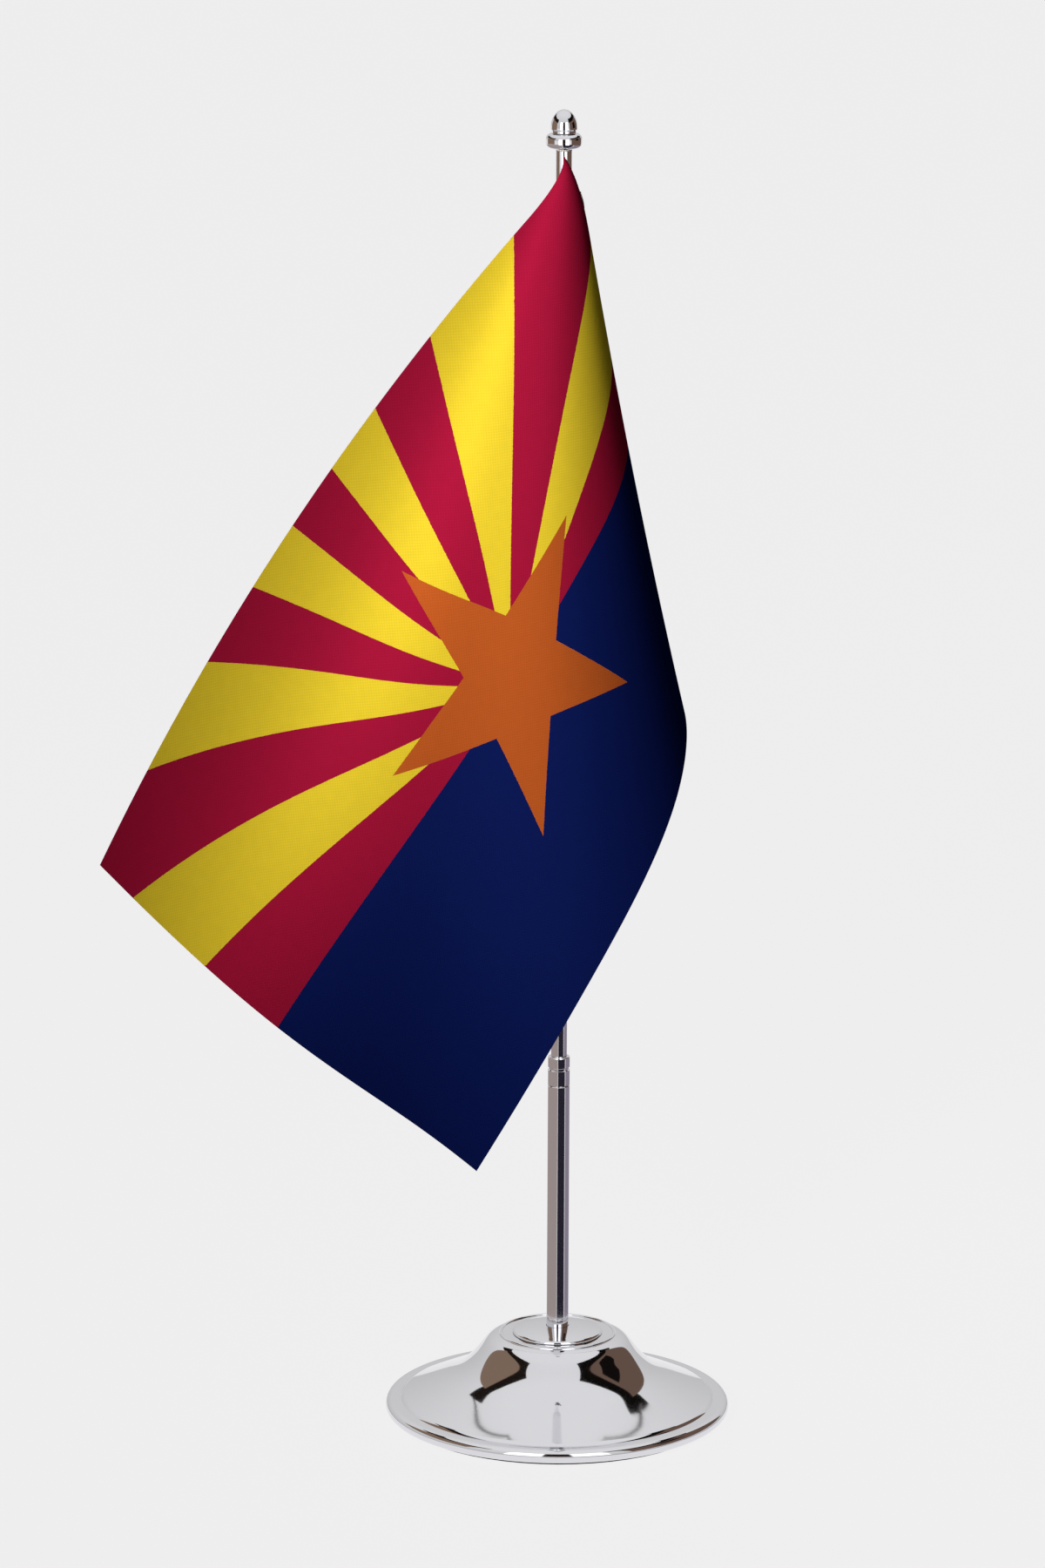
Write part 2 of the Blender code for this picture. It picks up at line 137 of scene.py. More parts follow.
def chrome_plate(settings):
    """Chrome plate on spun and drawn steel, wheel polished.

    It shows as a cool mirror, with a trace of haze in patches and hairlines from dusting.
    """
    material, tree, shader = new_material("polished_chrome_plate", settings.chrome_hex, 1.0)
    place = object_place(tree)
    # Haze lies in patches a centimetre or two across.
    haze = add_node(tree, "ShaderNodeTexNoise", {"Vector": place, "Scale": 70.0, "Detail": 3.0})
    rough = add_node(
        tree,
        "ShaderNodeMapRange",
        {"Value": haze, "To Min": settings.chrome_roughness, "To Max": 2.2 * settings.chrome_roughness},
    )
    # Hairlines run round the part: 0.4 mm apart up its height, and long round it.
    squeeze = add_node(tree, "ShaderNodeMapping", {"Vector": place, "Scale": (60.0, 60.0, 2500.0)})
    lines = add_node(tree, "ShaderNodeTexNoise", {"Vector": squeeze, "Scale": 1.0, "Detail": 4.0})
    bump = add_node(tree, "ShaderNodeBump", {"Height": lines, "Strength": 0.05, "Distance": 0.01 * MM})
    tree.links.new(rough, shader.inputs["Roughness"])
    tree.links.new(bump, shader.inputs["Normal"])
    return material


def mottled_metal(name, dark, light, size, roughness):
    """A metal whose plating or casting skin shows as mottles of a given size."""
    material, tree, shader = new_material(name, dark, 1.0)
    place = object_place(tree)
    mottle = add_node(tree, "ShaderNodeTexNoise", {"Vector": place, "Scale": 1.0 / size, "Detail": 5.0})
    tint = add_node(
        tree,
        "ShaderNodeMix",
        {"Factor": mottle, "A": linear(dark), "B": linear(light)},
        data_type="RGBA",
    )
    rough = add_node(
        tree,
        "ShaderNodeMapRange",
        {"Value": mottle, "To Min": 0.8 * roughness, "To Max": 1.25 * roughness},
    )
    bump = add_node(tree, "ShaderNodeBump", {"Height": mottle, "Strength": 0.2, "Distance": 0.05 * MM})
    tree.links.new(tint, shader.inputs["Base Color"])
    tree.links.new(rough, shader.inputs["Roughness"])
    tree.links.new(bump, shader.inputs["Normal"])
    return material


def zinc_plate():
    """Zinc-plated steel, barrel plated: a dull cool grey, mottled at about 1 mm."""
    return mottled_metal("zinc_plated_steel", "#9ea2a7", "#c3c6c9", 1.0 * MM, 0.36)


def turned_brass():
    """Free-cutting brass, turned: warm yellow, with a slight brown tarnish in patches."""
    return mottled_metal("turned_brass", "#a8823f", "#cfae62", 2.0 * MM, 0.28)


def cast_iron():
    """Grey cast iron with a thin coat of black paint: near black, rough with casting grain."""
    material = mottled_metal("painted_cast_iron", "#17181a", "#2a2b2e", 0.8 * MM, 0.62)
    material.node_tree.nodes["Principled BSDF"].inputs["Metallic"].default_value = 0.0
    return material


def wool_felt():
    """Pressed black wool felt: matt, fuzzy, with short fibres lying every way."""
    material, tree, shader = new_material("black_wool_felt", "#141416", 0.0, 0.95)
    place = object_place(tree)
    fibres = add_node(
        tree,
        "ShaderNodeTexNoise",
        {"Vector": place, "Scale": 1800.0, "Detail": 6.0, "Distortion": 3.0},
    )
    tint = add_node(
        tree,
        "ShaderNodeMix",
        {"Factor": fibres, "A": linear("#0c0c0e"), "B": linear("#2c2c30")},
        data_type="RGBA",
    )
    bump = add_node(tree, "ShaderNodeBump", {"Height": fibres, "Strength": 0.6, "Distance": 0.1 * MM})
    tree.links.new(tint, shader.inputs["Base Color"])
    tree.links.new(bump, shader.inputs["Normal"])
    shader.inputs["Sheen Weight"].default_value = 0.4
    return material


def moulded(name, colour, roughness):
    """A plain moulded polymer with a fine moulding grain."""
    material, tree, shader = new_material(name, colour, 0.0, roughness)
    place = object_place(tree)
    grain = add_node(tree, "ShaderNodeTexNoise", {"Vector": place, "Scale": 3000.0, "Detail": 2.0})
    bump = add_node(tree, "ShaderNodeBump", {"Height": grain, "Strength": 0.15, "Distance": 0.02 * MM})
    tree.links.new(bump, shader.inputs["Normal"])
    return material


def weave(tree, along, down, pitch):
    """Height of a plain weave from 0 to 1, from the distances along and down the cloth."""
    warp = add_node(tree, "ShaderNodeMath", {0: along, 1: math.tau / pitch}, operation="MULTIPLY")
    weft = add_node(tree, "ShaderNodeMath", {0: down, 1: math.tau / pitch}, operation="MULTIPLY")
    warp = add_node(tree, "ShaderNodeMath", {0: warp}, operation="SINE")
    weft = add_node(tree, "ShaderNodeMath", {0: weft}, operation="SINE")
    crossing = add_node(tree, "ShaderNodeMath", {0: warp, 1: weft}, operation="MULTIPLY")
    return add_node(tree, "ShaderNodeMath", {0: crossing, 1: 0.5, 2: 0.5}, operation="MULTIPLY_ADD")


def printed_satin(settings):
    """Dye-printed polyester satin: saturated colour with almost no gloss, and a fine weave.

    The print has a navy lower half, thirteen rays of red and gold above it, and a copper star.
    """
    material, tree, shader = new_material("printed_polyester_satin", None, 0.0, settings.cloth_roughness)
    flat = tree.nodes.new("ShaderNodeUVMap")
    flat.uv_map = "flat_cloth"
    split = tree.nodes.new("ShaderNodeSeparateXYZ")
    tree.links.new(flat.outputs["UV"], split.inputs["Vector"])
    length = settings.length
    width = settings.width
    # Distances from the panel's centre, towards the fly and towards the top edge.
    along = add_node(
        tree, "ShaderNodeMath", {0: split.outputs["X"], 1: length, 2: -length / 2}, operation="MULTIPLY_ADD"
    )
    up = add_node(
        tree, "ShaderNodeMath", {0: split.outputs["Y"], 1: width, 2: -width / 2}, operation="MULTIPLY_ADD"
    )
    # The dye creeps along the threads by about 0.1 mm.
    place = add_node(tree, "ShaderNodeCombineXYZ", {"X": along, "Y": up})
    creep = add_node(tree, "ShaderNodeTexNoise", {"Vector": place, "Scale": 1800.0, "Detail": 1.0})
    bleed = settings.dye_creep
    creep = add_node(tree, "ShaderNodeMath", {0: creep, 1: 2 * bleed, 2: -bleed}, operation="MULTIPLY_ADD")
    x = add_node(tree, "ShaderNodeMath", {0: along, 1: creep}, operation="ADD")
    y = add_node(tree, "ShaderNodeMath", {0: up, 1: creep}, operation="ADD")

    # Rays: each of the thirteen takes an equal angle of the upper half turn.
    angle = add_node(tree, "ShaderNodeMath", {0: y, 1: x}, operation="ARCTAN2")
    ray = add_node(tree, "ShaderNodeMath", {0: angle, 1: settings.rays / math.pi}, operation="MULTIPLY")
    ray = add_node(tree, "ShaderNodeMath", {0: ray}, operation="FLOOR")
    odd = add_node(tree, "ShaderNodeMath", {0: ray, 1: 2.0}, operation="MODULO")
    upper = add_node(tree, "ShaderNodeMath", {0: y, 1: 0.0}, operation="GREATER_THAN")

    # Star: folded into a tenth of a turn, its edge is one straight line.
    x = add_node(tree, "ShaderNodeMath", {0: x, 1: settings.star_offset}, operation="ADD")
    bearing = add_node(tree, "ShaderNodeMath", {0: x, 1: y}, operation="ARCTAN2")
    folded = add_node(tree, "ShaderNodeMath", {0: bearing, 1: math.pi / 5}, operation="PINGPONG")
    folded = add_node(tree, "ShaderNodeMath", {0: folded, 1: math.pi / 10}, operation="ADD")
    folded = add_node(tree, "ShaderNodeMath", {0: folded}, operation="SINE")
    square = add_node(tree, "ShaderNodeMath", {0: x, 1: x}, operation="MULTIPLY")
    square = add_node(tree, "ShaderNodeMath", {0: y, 1: y, 2: square}, operation="MULTIPLY_ADD")
    reach = add_node(tree, "ShaderNodeMath", {0: square}, operation="SQRT")
    reach = add_node(tree, "ShaderNodeMath", {0: reach, 1: folded}, operation="MULTIPLY")
    edge = settings.star_radius * math.sin(math.pi / 10)
    star = add_node(tree, "ShaderNodeMath", {0: reach, 1: edge}, operation="LESS_THAN")

    rays = add_node(
        tree,
        "ShaderNodeMix",
        {"Factor": odd, "A": linear(settings.red_hex), "B": linear(settings.gold_hex)},
        data_type="RGBA",
    )
    field = add_node(
        tree, "ShaderNodeMix", {"Factor": upper, "A": linear(settings.navy_hex), "B": rays}, data_type="RGBA"
    )
    dye = add_node(
        tree, "ShaderNodeMix", {"Factor": star, "A": field, "B": linear(settings.copper_hex)},
        data_type="RGBA"
    )
    height = weave(tree, along, up, settings.weave_pitch)
    # Painted shade between the threads: the colour is a little darker where the weave is low. Apart from
    # that, the threads take the dye unevenly in patches of about 3 mm.
    patches = add_node(tree, "ShaderNodeTexNoise", {"Vector": place, "Scale": 350.0, "Detail": 3.0})
    thread_shade_and_patches = add_node(tree, "ShaderNodeMath", {0: height, 1: 0.14, 2: 0.88}, operation="MULTIPLY_ADD")
    thread_shade_and_patches = add_node(tree, "ShaderNodeMath", {0: patches, 1: 0.10, 2: thread_shade_and_patches}, operation="MULTIPLY_ADD")
    # The print colour times the painted thread shade and the random dye patches.
    colour = add_node(tree, "ShaderNodeVectorMath", {0: dye, "Scale": thread_shade_and_patches}, operation="SCALE")
    bump = add_node(tree, "ShaderNodeBump", {"Height": height, "Strength": 0.25, "Distance": 0.08 * MM})
    tree.links.new(colour, shader.inputs["Base Color"])
    tree.links.new(bump, shader.inputs["Normal"])
    shader.inputs["Specular IOR Level"].default_value = settings.cloth_gloss
    return material


def sleeve_satin(settings):
    """Undyed polyester satin: cool white, with the same weave as the panel and painted shade between its
    threads.
    """
    material, tree, shader = new_material("white_polyester_satin", settings.sleeve_hex, 0.0, 0.55)
    flat = tree.nodes.new("ShaderNodeUVMap")
    flat.uv_map = "flat_cloth"
    split = tree.nodes.new("ShaderNodeSeparateXYZ")
    tree.links.new(flat.outputs["UV"], split.inputs["Vector"])
    height = weave(tree, split.outputs["X"], split.outputs["Y"], settings.weave_pitch)
    # Painted shade between the threads: where the weave is low, the white darkens to a pale grey (#d7d7da).
    thread_shaded_white = add_node(
        tree,
        "ShaderNodeMix",
        {"Factor": height, "A": linear("#d7d7da"), "B": linear(settings.sleeve_hex)},
        data_type="RGBA",
    )
    bump = add_node(tree, "ShaderNodeBump", {"Height": height, "Strength": 0.3, "Distance": 0.08 * MM})
    tree.links.new(thread_shaded_white, shader.inputs["Base Color"])
    tree.links.new(bump, shader.inputs["Normal"])
    return material


# ---- Modelling steps shared by the operators ----


def start_piece(name):
    """Name the object that a primitive operator has just made."""
    piece = bpy.context.object
    piece.name = name
    piece.data.name = name
    return piece


def finish_piece(piece, material, body, replaced=(), smooth=30.0):
    """Shade a piece, give it its material, and tie it to its body in the frame."""
    bpy.ops.object.select_all(action="DESELECT")
    piece.select_set(True)
    bpy.context.view_layer.objects.active = piece
    bpy.ops.object.shade_smooth_by_angle(angle=math.radians(smooth))
    piece.data.materials.clear()
    piece.data.materials.append(material)
    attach(piece, body)
    if replaced:
        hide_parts(*replaced)
    return piece


def turned(name, outline, steps=96, solid=False):
    """Turn an outline of (radius, height) points by extruding a circle ring by ring.

    A ring-shaped piece has a closed outline. A solid one starts with a capped ring and may end on
    the axis.
    """
    points = list(outline)
    if not solid:
        points.append(points[0])
    bpy.ops.object.select_all(action="DESELECT")
    bpy.ops.mesh.primitive_circle_add(vertices=steps, radius=points[0][0], location=(0.0, 0.0, points[0][1]))
    piece = start_piece(name)
    bpy.ops.object.transform_apply(location=True, rotation=True, scale=True)
    bpy.ops.object.mode_set(mode="EDIT")
    bpy.ops.mesh.select_mode(type="VERT")
    bpy.ops.mesh.select_all(action="SELECT")
    if solid:
        bpy.ops.mesh.edge_face_add()
        bpy.ops.mesh.select_all(action="SELECT")
        bpy.ops.mesh.select_mode(type="EDGE")
    for (radius, height), (next_radius, next_height) in zip(points, points[1:]):
        step = (0.0, 0.0, next_height - height)
        bpy.ops.mesh.extrude_edges_move(TRANSFORM_OT_translate={"value": step})
        if next_radius > 0.0:
            scale = next_radius / radius
            bpy.ops.transform.resize(value=(scale, scale, 1.0), center_override=(0.0, 0.0, 0.0))
        else:
            bpy.ops.mesh.merge(type="CENTER")
    bpy.ops.mesh.select_mode(type="VERT")
    bpy.ops.mesh.select_all(action="SELECT")
    bpy.ops.mesh.remove_doubles(threshold=0.001 * MM)
    bpy.ops.mesh.select_all(action="SELECT")
    bpy.ops.mesh.normals_make_consistent(inside=False)
    bpy.ops.object.mode_set(mode="OBJECT")
    return piece


def arc(centre, radius, start, end, steps):
    """Points of an arc in the (radius, height) plane, from one angle in degrees to another."""
    angles = [math.radians(start + (end - start) * step / steps) for step in range(steps + 1)]
    return [(centre[0] + radius * math.cos(angle), centre[1] + radius * math.sin(angle)) for angle in angles]


def blended(values, place):
    """A smooth run of values, read at a place from 0 at the first value to 1 at the last."""
    spans = len(values) - 1
    padded = (2.0 * values[0] - values[1], *values, 2.0 * values[-1] - values[-2])
    scaled = min(max(place, 0.0), 1.0) * spans
    span = min(int(scaled), spans - 1)
    part = scaled - span
    weights = (
        (1.0 - part) ** 3,
        3.0 * part**3 - 6.0 * part**2 + 4.0,
        -3.0 * part**3 + 3.0 * part**2 + 3.0 * part + 1.0,
        part**3,
    )
    return sum(weight * padded[span + step] for step, weight in enumerate(weights)) / 6.0


# ---- Settings ----


class MetalSettings(bpy.types.PropertyGroup):
    """Sizes and finish of the base, pole and finial."""

    chrome_hex: bpy.props.StringProperty(
        name="Chrome", description="sRGB colour of the chrome plate", default="#e6e6ea"
    )
    chrome_roughness: bpy.props.FloatProperty(
        name="Chrome roughness", description="Roughness of the polished plate",
        default=0.035, min=0.0, max=1.0
    )
    base_radius: bpy.props.FloatProperty(
        name="Base radius", description="Radius over the rolled rim",
        default=radius_of("base_shell"), unit="LENGTH"
    )
    rim_radius: bpy.props.FloatProperty(
        name="Rim radius", description="Radius of the rolled rim itself", default=1.7 * MM, unit="LENGTH"
    )
    skirt_radius: bpy.props.FloatProperty(
        name="Skirt radius", description="Where the bell meets the rim", default=38.6 * MM, unit="LENGTH"
    )
    skirt_height: bpy.props.FloatProperty(
        name="Skirt height", description="Height where the bell meets the rim",
        default=5.0 * MM, unit="LENGTH"
    )
    plateau_radius: bpy.props.FloatProperty(
        name="Plateau radius", description="Radius of the flat top of the bell",
        default=14.6 * MM, unit="LENGTH"
    )
    plateau_height: bpy.props.FloatProperty(
        name="Plateau height", description="Height of the flat top of the bell",
        default=21.1 * MM, unit="LENGTH"
    )
    bead_radius: bpy.props.FloatProperty(
        name="Bead radius", description="Radius of the bead round the plateau",
        default=0.45 * MM, unit="LENGTH"
    )
    shell_wall: bpy.props.FloatProperty(
        name="Shell wall", description="Thickness of the spun shell", default=0.7 * MM, unit="LENGTH"
    )


class FlagSettings(bpy.types.PropertyGroup):
    """Cut, print and cloth of the flag."""

    length: bpy.props.FloatProperty(
        name="Length", description="Flat length from hoist to fly", default=210.0 * MM, unit="LENGTH"
    )
    width: bpy.props.FloatProperty(
        name="Width", description="Flat width along the hoist", default=140.0 * MM, unit="LENGTH"
    )
    thickness: bpy.props.FloatProperty(
        name="Thickness", description="Thickness of the cloth", default=0.22 * MM, unit="LENGTH"
    )
    rays: bpy.props.IntProperty(
        name="Rays", description="Number of rays in the upper half", default=13, min=1
    )
    star_radius: bpy.props.FloatProperty(
        name="Star radius", description="From the star's centre to its points",
        default=41.0 * MM, unit="LENGTH"
    )
    star_offset: bpy.props.FloatProperty(
        name="Star offset", description="How far the star sits towards the hoist",
        default=3.0 * MM, unit="LENGTH"
    )
    red_hex: bpy.props.StringProperty(
        name="Red", description="sRGB colour of the red rays", default="#a71638"
    )
    gold_hex: bpy.props.StringProperty(
        name="Gold", description="sRGB colour of the gold rays", default="#edce31"
    )
    navy_hex: bpy.props.StringProperty(
        name="Navy", description="sRGB colour of the lower half", default="#0f1c59"
    )
    copper_hex: bpy.props.StringProperty(
        name="Copper", description="sRGB colour of the star", default="#c15b24"
    )
    sleeve_hex: bpy.props.StringProperty(
        name="Sleeve", description="sRGB colour of the hoist sleeve", default="#eeeef0"
    )
    cloth_roughness: bpy.props.FloatProperty(
        name="Cloth roughness", description="Roughness of the satin", default=0.55, min=0.0, max=1.0
    )
    cloth_gloss: bpy.props.FloatProperty(
        name="Cloth gloss", description="Specular level of the satin, which is matt",
        default=0.0, min=0.0, max=1.0
    )
    # The threads are about 0.25 mm apart. They are drawn at 0.9 mm so that they show.
    weave_pitch: bpy.props.FloatProperty(
        name="Weave pitch", description="Distance over two threads as drawn", default=0.9 * MM, unit="LENGTH"
    )
    dye_creep: bpy.props.FloatProperty(
        name="Dye creep", description="How far the dye spreads at an edge", default=0.1 * MM, unit="LENGTH"
    )


class StageSettings(bpy.types.PropertyGroup):
    """Lights and floor."""

    floor_hex: bpy.props.StringProperty(
        name="Floor", description="sRGB colour of the floor", default="#eeedee"
    )
    floor_glow: bpy.props.FloatProperty(
        name="Floor glow", description="Strength of the lit floor", default=1.0
    )
    key_power: bpy.props.FloatProperty(name="Key power", description="Power of the key light", default=80.0)
    back_power: bpy.props.FloatProperty(
        name="Back power", description="Power of the back light", default=22.0
    )
    fill: bpy.props.FloatProperty(
        name="Fill", description="Light from all round on matt surfaces", default=0.06
    )


class FlagStandSettings(bpy.types.PropertyGroup):
    """Everything a user would change."""

    metal: bpy.props.PointerProperty(type=MetalSettings)
    flag: bpy.props.PointerProperty(type=FlagSettings)
    stage: bpy.props.PointerProperty(type=StageSettings)


# ---- Base ----


def bell_outline(metal):
    """The outside of the base shell, from the rim's underside up to the pole hole."""
    rim = (metal.base_radius - metal.rim_radius, metal.rim_radius + high_of("foot_pad"))
    rise = metal.plateau_height - metal.skirt_height
    run = metal.skirt_radius - metal.plateau_radius
    # How far in from the skirt, and how far up, the bell's flank passes.
    inward = (0.0, 0.13, 0.40, 0.60, 0.76, 0.88, 1.0)
    upward = (0.0, 0.08, 0.26, 0.42, 0.68, 0.95, 1.0)
    points = arc(rim, metal.rim_radius, -90.0, 90.0, 20)
    points.append((metal.skirt_radius + 0.5 * MM, metal.skirt_height - 0.55 * MM))
    for step in range(61):
        points.append(
            (
                metal.skirt_radius - run * blended(inward, step / 60),
                metal.skirt_height + rise * blended(upward, step / 60),
            )
        )
    bead = (metal.plateau_radius - metal.bead_radius, metal.plateau_height)
    points += arc(bead, metal.bead_radius, 15.0, 165.0, 10)
    top = metal.plateau_height + 0.15 * MM
    points.append((radius_of("pole_escutcheon"), top))
    points.append((LOWER_TUBE_RADIUS + 0.3 * MM, top))
    return points


class FLAGSTAND_OT_base(bpy.types.Operator):
    """Model the spun bell and the domed escutcheon round the pole's foot"""

    bl_idname = "flagstand.base"
    bl_label = "Base"

    def execute(self, context):
        metal = context.scene.flag_stand.metal
        chrome = chrome_plate(metal)
        outside = bell_outline(metal)
        inside = []
        for index, (radius, height) in enumerate(outside):
            before = Vector(outside[max(index - 1, 0)])
            after = Vector(outside[min(index + 1, len(outside) - 1)])
            along = (after - before).normalized()
            inside.append((radius - along.y * metal.shell_wall, height + along.x * metal.shell_wall))
        inside[0] = (outside[0][0], outside[0][1] + metal.shell_wall)
        inside[-1] = (outside[-1][0], outside[-1][1] - metal.shell_wall)
        bell = turned("base_bell", outside + inside[::-2] + [inside[0]], steps=192)
        finish_piece(bell, chrome, "stand", ["base_shell"])

        seat = low_of("pole_escutcheon")
        edge_radius = 0.8 * MM
        edge = (radius_of("pole_escutcheon") - edge_radius, seat)
        hole = LOWER_TUBE_RADIUS + 0.1 * MM
        rise = high_of("pole_escutcheon") - seat - edge_radius
        crown = []
        for step in range(16):
            share = step / 16
            radius = hole + (edge[0] - hole) * share
            crown.append((radius, seat + edge_radius + rise * (1.0 - share**2)))
        outline = [(hole, seat)] + crown + arc(edge, edge_radius, 90.0, 0.0, 8)
        escutcheon = turned("pole_escutcheon_cap", outline, steps=128)
        finish_piece(escutcheon, chrome, "stand", ["pole_escutcheon"])
        return {"FINISHED"}


# ---- Pole and finial ----


class FLAGSTAND_OT_pole(bpy.types.Operator):
    """Model both chromed tubes and the guide ferrule between them"""

    bl_idname = "flagstand.pole"
    bl_label = "Pole"

    def execute(self, context):
        chrome = bpy.data.materials["polished_chrome_plate"]
        bore = LOWER_TUBE_RADIUS - TUBE_WALL
        foot = low_of("lower_tube")
        head = high_of("lower_tube")
        outline = [
            (bore, foot),
            (LOWER_TUBE_RADIUS, foot),
            (LOWER_TUBE_RADIUS, head - ROUND_OFF),
            (LOWER_TUBE_RADIUS - ROUND_OFF, head),
            (bore, head),
        ]
        outer = turned("outer_tube", outline, steps=64)
        finish_piece(outer, chrome, "stand", ["lower_tube"])

        guide = UPPER_TUBE_RADIUS + RUNNING_ROOM
        mouth = high_of("mouth_ferrule")
        spigot = bore - RUNNING_ROOM
        step = mouth - 3.1 * MM
        groove = LOWER_TUBE_RADIUS - 0.25 * MM
        lip = arc((LOWER_TUBE_RADIUS - 0.35 * MM, mouth - 0.35 * MM), 0.35 * MM, 0.0, 90.0, 5)
        outline = [
            (guide, low_of("mouth_ferrule")),
            (spigot, low_of("mouth_ferrule")),
            (spigot, head + 0.1 * MM),
            (LOWER_TUBE_RADIUS - ROUND_OFF, head + 0.1 * MM),
            (LOWER_TUBE_RADIUS, head + 0.1 * MM + ROUND_OFF),
            (LOWER_TUBE_RADIUS, step - 0.4 * MM),
            (groove, step - 0.2 * MM),
            (groove, step + 0.2 * MM),
            (LOWER_TUBE_RADIUS, step + 0.4 * MM),
            *lip,
            (guide, mouth),
        ]
        ferrule = turned("guide_ferrule", outline, steps=64)
        finish_piece(ferrule, chrome, "stand", ["mouth_ferrule"])

        foot = low_of("upper_tube")
        neck_top = high_of("friction_bush") + 0.1 * MM
        neck = UPPER_TUBE_RADIUS - 0.15 * MM
        inner_bore = UPPER_TUBE_RADIUS - TUBE_WALL
        outline = [
            (inner_bore, foot),
            (neck, foot),
            (neck, neck_top),
            (UPPER_TUBE_RADIUS, neck_top),
            (UPPER_TUBE_RADIUS, high_of("upper_tube")),
            (inner_bore, high_of("upper_tube")),
        ]
        inner = turned("inner_tube", outline, steps=64)
        finish_piece(inner, chrome, "upper_section", ["upper_tube"])
        return {"FINISHED"}


class FLAGSTAND_OT_finial(bpy.types.Operator):
    """Model the acorn finial and its rounded collar"""

    bl_idname = "flagstand.finial"
    bl_label = "Finial"

    def execute(self, context):
        chrome = bpy.data.materials["polished_chrome_plate"]
        stud_way = radius_of("finial_stud") + STUD_ROOM
        low = low_of("finial_collar")
        high = high_of("finial_collar")
        rounding = 1.5 * MM
        middle = radius_of("finial_collar") - rounding
        outline = (
            [(stud_way, low)]
            + arc((middle, low + rounding), rounding, -90.0, 0.0, 12)
            + arc((middle, high - rounding), rounding, 0.0, 90.0, 12)
            + [(stud_way, high)]
        )
        collar = turned("finial_round_collar", outline, steps=96)
        finish_piece(collar, chrome, "finial", ["finial_collar"])

        radius = radius_of("finial_acorn")
        foot = low_of("finial_acorn")
        top = high_of("finial_acorn")
        waist = radius - 0.3 * MM
        shoulder = foot + 0.9 * MM
        blind = foot + 0.6 * (top - foot)
        outline = [(stud_way, blind), (stud_way, foot), (waist, foot), (waist, shoulder - 0.3 * MM)]
        for step in range(25):
            angle = math.radians(90.0 * step / 24)
            outline.append((radius * math.cos(angle), shoulder + (top - shoulder) * math.sin(angle)))
        outline[-1] = (0.0, top)
        acorn = turned("finial_acorn_cap", outline, steps=96, solid=True)
        finish_piece(acorn, chrome, "finial", ["finial_acorn"])
        return {"FINISHED"}


# ---- Flag ----

# The panel hangs in folds that spread from a point just above its top corner. Each fold line
# leaves that point with a sideways and a backward slope, per unit of drop. The first line runs
# along the top edge and the last one runs down the pole, at equal angles across the flat cloth.
FOLD_ORIGIN_RISE = 5.0 * MM
FOLD_SIDEWAYS = (-0.63, -0.41, -0.14, 0.04, 0.21, 0.24, 0.0)
FOLD_BACKWARD = (-0.10, -0.29, -0.05, -0.05, 0.10, 0.35, 0.0)
# Each fold line bows by this much at half of FOLD_SPAN, from the top edge round to the pole.
FOLD_SPAN = 250.0 * MM
BOW_SIDEWAYS = (-11.0 * MM, -4.0 * MM, -5.0 * MM, -4.0 * MM, 0.0)
BOW_BACKWARD = (30.0 * MM, -30.0 * MM, -20.0 * MM, -6.0 * MM, 0.0)
HOIST_BEARING = -50.0
CORNER_SWING = -38.0
CORNER_SPAN = 22.0 * MM
HOIST_REACH = SLEEVE_RADIUS + 0.6 * MM
# The sleeve is sewn to the panel by a tab on either side, this wide and this far from its middle.
SLEEVE_TAB = 5.0 * MM
SEAM_GAP = 0.25 * MM
# Distance over which the cloth's facing is measured.
NORMAL_STEP = 0.2 * MM
# Cells are closer together near the hoist, where the cloth turns sharply: a share of the length is
# raised to this power.
HOIST_CROWDING = 1.25


def cloth_point(along, down):
    """Where a point of the flat panel hangs, from its distances along and down from the top corner."""
    # The loose corner above the sleeve swings further round to the front of the pole, and its
    # folds spread from the corner itself.
    loose = max(0.0, 1.0 - math.hypot(along, down) / CORNER_SPAN)
    bearing = math.radians(HOIST_BEARING + CORNER_SWING * loose**3)
    rise = FOLD_ORIGIN_RISE * (1.0 - loose**2)
    drop = down + rise
    distance = math.hypot(along, drop)
    corner = Vector((HOIST_REACH * math.cos(bearing), HOIST_REACH * math.sin(bearing), FLAG_TOP + rise))
    turn = math.atan2(drop, along) / (math.pi / 2)
    slope = Vector((blended(FOLD_SIDEWAYS, turn), blended(FOLD_BACKWARD, turn), -1.0)).normalized()
    share = distance / FOLD_SPAN
    bow = 4.0 * share * (1.0 - share)
    belly = Vector((blended(BOW_SIDEWAYS, turn), blended(BOW_BACKWARD, turn), 0.0))
    return corner + slope * distance + belly * bow


